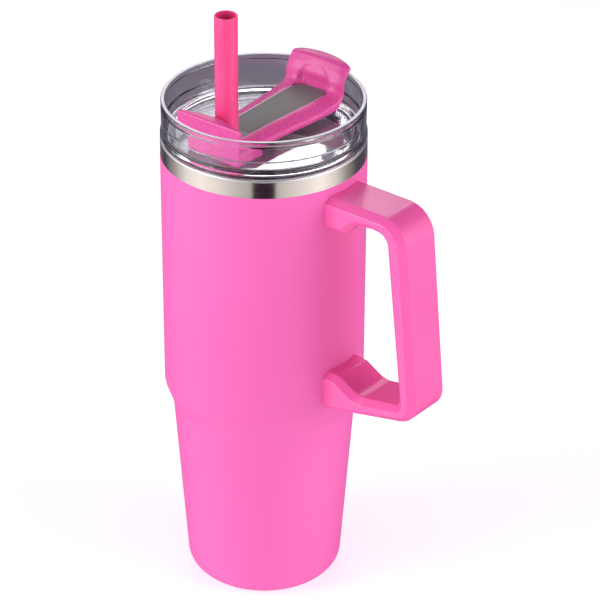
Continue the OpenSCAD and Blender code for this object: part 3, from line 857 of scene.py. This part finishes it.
def build_world():
    """A light tent: two white sides with a dark gap at the camera, and a dim back and top."""
    world = bpy.data.worlds.new("studio")
    scene.world = world
    world.use_nodes = True
    back = world.node_tree.nodes["Background"]
    place = node(world, "ShaderNodeTexCoord")
    turn = node(world, "ShaderNodeMapping")
    turn.inputs["Rotation"].default_value = (0, 0, math.radians(-CAMERA_AZIMUTH))
    split = node(world, "ShaderNodeSeparateXYZ")
    link(world, place.outputs["Generated"], turn.inputs["Vector"])
    link(world, turn.outputs["Vector"], split.inputs["Vector"])
    angle = node(world, "ShaderNodeMath", operation="ARCTAN2")
    link(world, split.outputs["Y"], angle.inputs[0])
    link(world, split.outputs["X"], angle.inputs[1])
    degrees = node(world, "ShaderNodeMath", operation="MULTIPLY")
    degrees.inputs[1].default_value = 180 / math.pi
    link(world, angle.outputs[0], degrees.inputs[0])
    sides = ramp(world, degrees.outputs[0], SIDES, -180, 180)
    share = ramp(world, split.outputs["Z"], ((-1, 0), (0.45, 0), (0.62, 1)), -1, 1)
    low_sides = ramp(world, degrees.outputs[0], LOW_SIDES, -180, 180)
    height = ramp(world, split.outputs["Z"], ((-1, 0), (-0.35, 0), (-0.1, 1), (1, 1)), -1, 1)
    levels = node(world, "ShaderNodeMix", data_type="RGBA")
    link(world, height, levels.inputs[0])
    link(world, low_sides, levels.inputs[6])
    link(world, sides, levels.inputs[7])
    mix = node(world, "ShaderNodeMix", data_type="RGBA")
    link(world, share, mix.inputs[0])
    link(world, levels.outputs[2], mix.inputs[6])
    mix.inputs[7].default_value = (*TOP_LIGHT, 1)
    link(world, mix.outputs[2], back.inputs["Color"])
    back.inputs["Strength"].default_value = WORLD_STRENGTH


def build_studio():
    """Pale paper floor, two soft keys at the sides, and small lights behind, seen through the lid."""
    paper = bpy.data.meshes.new("paper")
    paper.from_pydata([(-6, -6, 0), (6, -6, 0), (6, 6, 0), (-6, 6, 0)], [], [(0, 1, 2, 3)])
    floor = bpy.data.objects.new("paper", paper)
    scene.collection.objects.link(floor)
    pale = material("paper", Base_Color=(0.85, 0.85, 0.85), Roughness=0.9, Emission_Color=(1, 1, 1),
                    Emission_Strength=0.45)
    paper.materials.append(pale)
    floor.visible_glossy = False
    floor.visible_transmission = False

    target = Vector((0.02, 0, 0.16))
    seen = math.radians(CAMERA_AZIMUTH)
    across = Vector((-math.sin(seen), math.cos(seen), 0))

    def softbox(name, azimuth, elevation, distance, width, height, watts, aim=target, slide=(0, 0),
                colour=(1, 1, 1)):
        """Degrees from the camera's side, positive to its right; metres; slide is across and up."""
        lamp = bpy.data.lights.new(name, "AREA")
        lamp.shape, lamp.size, lamp.size_y = "RECTANGLE", width, height
        lamp.energy, lamp.color = watts, colour
        obj = bpy.data.objects.new(name, lamp)
        a, e = math.radians(azimuth + CAMERA_AZIMUTH), math.radians(elevation)
        out = Vector((math.cos(a) * math.cos(e), math.sin(a) * math.cos(e), math.sin(e)))
        side = Vector((0, 0, 1)).cross(out).normalized()
        up = out.cross(side)
        obj.rotation_mode = "QUATERNION"
        obj.rotation_quaternion = Matrix((side, up, out)).transposed().to_quaternion()
        obj.location = aim + out * distance + across * slide[0] + up * slide[1]
        scene.collection.objects.link(obj)

    softbox("key_left", -70, 22, 1.2, 0.6, 0.9, 6.5, colour=(0.90, 0.93, 1))
    softbox("key_right", 66, 22, 1.3, 0.6, 0.9, 6)
    lid = Vector((0, 0, FLOOR_Z * MM))
    softbox("back_low", 180, 30, 0.9, 0.072, 0.04, 0.082, lid, (0.022, -0.04))
    softbox("back_left", 180, 30, 0.91, 0.35, 0.085, 0.28, lid, (-0.175, -0.0575))
    softbox("back_strip", 180, 30, 0.9, 0.03, 0.07, 0.05, lid, (0.094, -0.03))
    softbox("back_wide", 180, 30, 0.9, 0.7, 0.12, 1.1, lid, (0, 0.10))


def build_camera():
    """Long lens looking down on the cup, with the photograph's framing as a small shift."""
    data = bpy.data.cameras.new("camera")
    camera = bpy.data.objects.new("camera", data)
    scene.collection.objects.link(camera)
    scene.camera = camera
    data.sensor_width, data.lens, data.shift_x = SENSOR, LENS, SHIFT_X
    data.clip_end = 50
    camera.location = Vector(CAMERA_AT) * MM
    heading = Matrix.Rotation(math.radians(CAMERA_HEADING), 4, "Z")
    tilt = Matrix.Rotation(math.radians(90 - CAMERA_TILT), 4, "X")
    camera.rotation_mode = "QUATERNION"
    camera.rotation_quaternion = (heading @ tilt).to_quaternion()


build_cup()
build_handle()
build_lid()
build_gasket()
build_housing()
build_seal()
build_lever()
build_straw()
plain_nodes()
flatten_normals()
build_camera()
build_world()
build_studio()
scene.view_settings.view_transform = "Standard"

bpy.context.view_layer.update()
